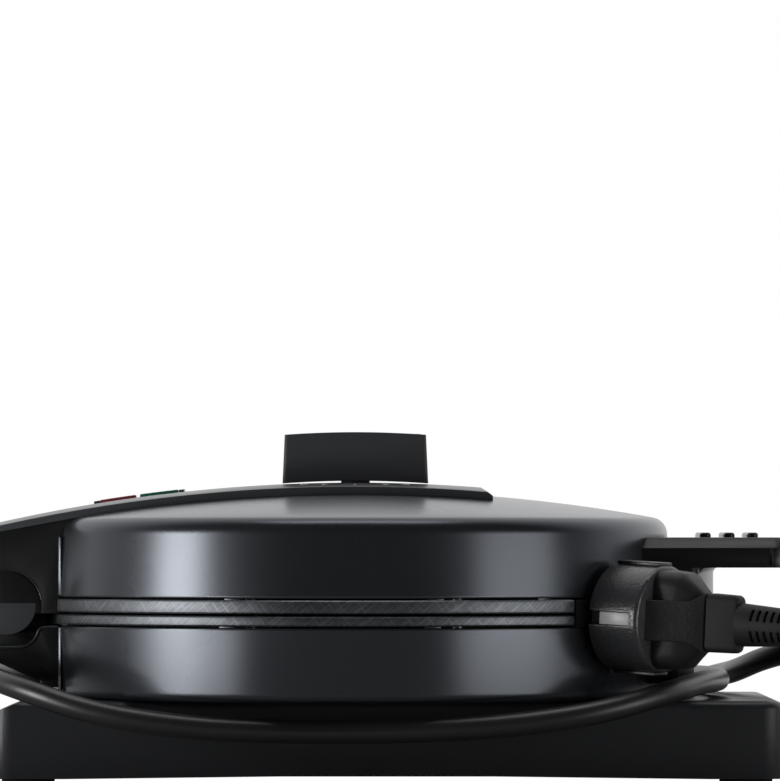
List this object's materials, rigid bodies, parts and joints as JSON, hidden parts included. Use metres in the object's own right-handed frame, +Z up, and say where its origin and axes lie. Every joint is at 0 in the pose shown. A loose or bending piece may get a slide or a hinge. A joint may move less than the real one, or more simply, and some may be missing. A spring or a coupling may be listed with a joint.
{
  "type": "waffle maker",
  "caption": "Round hinged heart waffle maker on an oblong base, with a bar temperature knob, indicator lamps, a lift handle and its plug parked on the side of the wound cord.",
  "frame": {"origin": "centre of the bounding box at table level, cord and plug left out", "axes": "+X towards the lift handle, away from the hinge; +Y away from the parked plug; +Z up"},
  "size_m": [0.3785, 0.2567, 0.1202],
  "materials": {
    "anthracite_metal": "satin",
    "black_plastic": "fine texture",
    "cover_plastic": "satin",
    "knob_plastic": "fine texture",
    "cast_plate": "cast, coated, with machined faces",
    "element_steel": "satin",
    "reflector_sheet": "satin",
    "plain_steel": "zinc plated",
    "terminal_ceramic": "matt",
    "foot_rubber": "matt",
    "cord_rubber": "matt",
    "plug_rubber": "satin moulded",
    "white_plastic": "gloss",
    "nickel_plate": "nickel plated",
    "red_plastic": "gloss, translucent",
    "green_plastic": "gloss, translucent",
    "lamp_glass": "clear"
  },
  "bodies": {
    "base": {"base_housing": "black_plastic", "base_cover": "black_plastic", "base_cover_screws": "plain_steel", "rubber_feet": "foot_rubber", "body_screws": "plain_steel", "lower_shell": "anthracite_metal", "lower_hinge_block": "black_plastic", "lower_front_block": "black_plastic", "lower_block_screws": "plain_steel", "hinge_pin": "plain_steel", "hinge_washers": "plain_steel", "lower_waffle_plate": "cast_plate", "lower_plate_screws": "plain_steel", "lower_heating_element": "element_steel", "lower_heat_reflector": "reflector_sheet", "terminal_block": "terminal_ceramic", "thermal_fuse": "plain_steel", "plug_parking_block": "black_plastic", "cord_outlet": "black_plastic", "mains_cord": "cord_rubber", "plug_body": "plug_rubber", "plug_insert": "white_plastic", "plug_pins": "nickel_plate", "plug_earth_clips": "nickel_plate", "plug_strain_relief": "plug_rubber"},
    "lid": {"lid_shell": "anthracite_metal", "hinge_arm": "black_plastic", "control_cover": "cover_plastic", "control_cover_screws": "plain_steel", "handle": "black_plastic", "lid_block_screws": "plain_steel", "upper_waffle_plate": "cast_plate", "upper_plate_screws": "plain_steel", "upper_heating_element": "element_steel", "upper_heat_reflector": "reflector_sheet", "thermostat": "terminal_ceramic", "thermostat_bracket": "plain_steel", "lamp_bezel": "black_plastic", "red_lens": "red_plastic", "green_lens": "green_plastic", "lamp_holder": "black_plastic", "indicator_lamps": "lamp_glass"},
    "knob": {"temperature_knob": "knob_plastic", "thermostat_shaft": "plain_steel"}
  },
  "joints": [
    {"name": "lid_hinge", "type": "hinge", "parent": "base", "child": "lid", "pos_m": [-0.12975, 0, 0.0606], "axis": [0, -1, 0], "range_deg": [0, 100]},
    {"name": "temperature_turn", "type": "hinge", "parent": "lid", "child": "knob", "pos_m": [-0.01075, 0, 0.104], "axis": [0, 0, 1], "range_deg": [-130, 130]}
  ]
}
